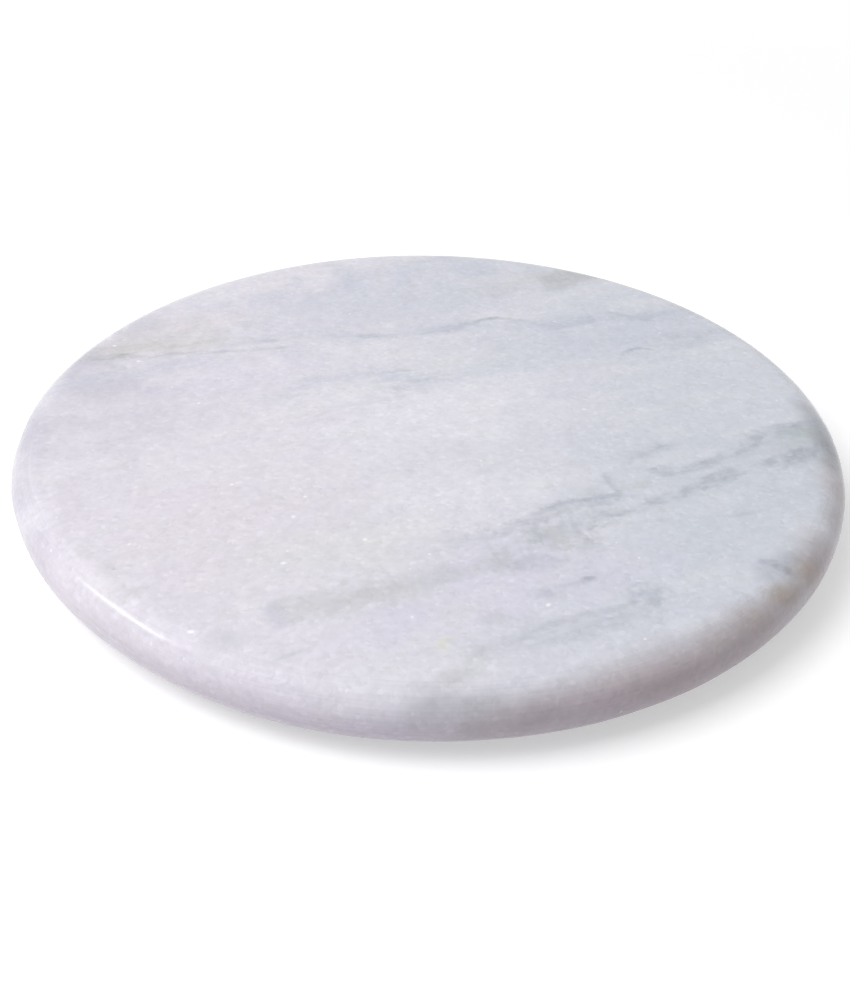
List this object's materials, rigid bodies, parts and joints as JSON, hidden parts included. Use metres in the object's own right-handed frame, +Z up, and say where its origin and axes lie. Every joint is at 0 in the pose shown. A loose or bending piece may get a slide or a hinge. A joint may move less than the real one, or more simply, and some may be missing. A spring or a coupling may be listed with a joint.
{
  "type": "chakla rolling board",
  "caption": "Round white marble board with a flat top and a full rounded rim, standing on low rubber feet glued under it, for rolling out flatbread dough by hand.",
  "frame": {"origin": "on the worktop, under the middle of the board", "axes": "+Z up through the board's axis, +Y away from the cook, +X to the cook's right"},
  "size_m": [0.254, 0.254, 0.0245],
  "materials": {
    "marble": "satin",
    "foot_rubber": "matte",
    "glue": "gloss"
  },
  "bodies": {
    "root": {"marble_slab": "marble", "foot_back_right": "foot_rubber", "foot_back_left": "foot_rubber", "foot_front_left": "foot_rubber", "foot_front_right": "foot_rubber", "glue_back_right": "glue", "glue_back_left": "glue", "glue_front_left": "glue", "glue_front_right": "glue"}
  },
  "joints": []
}
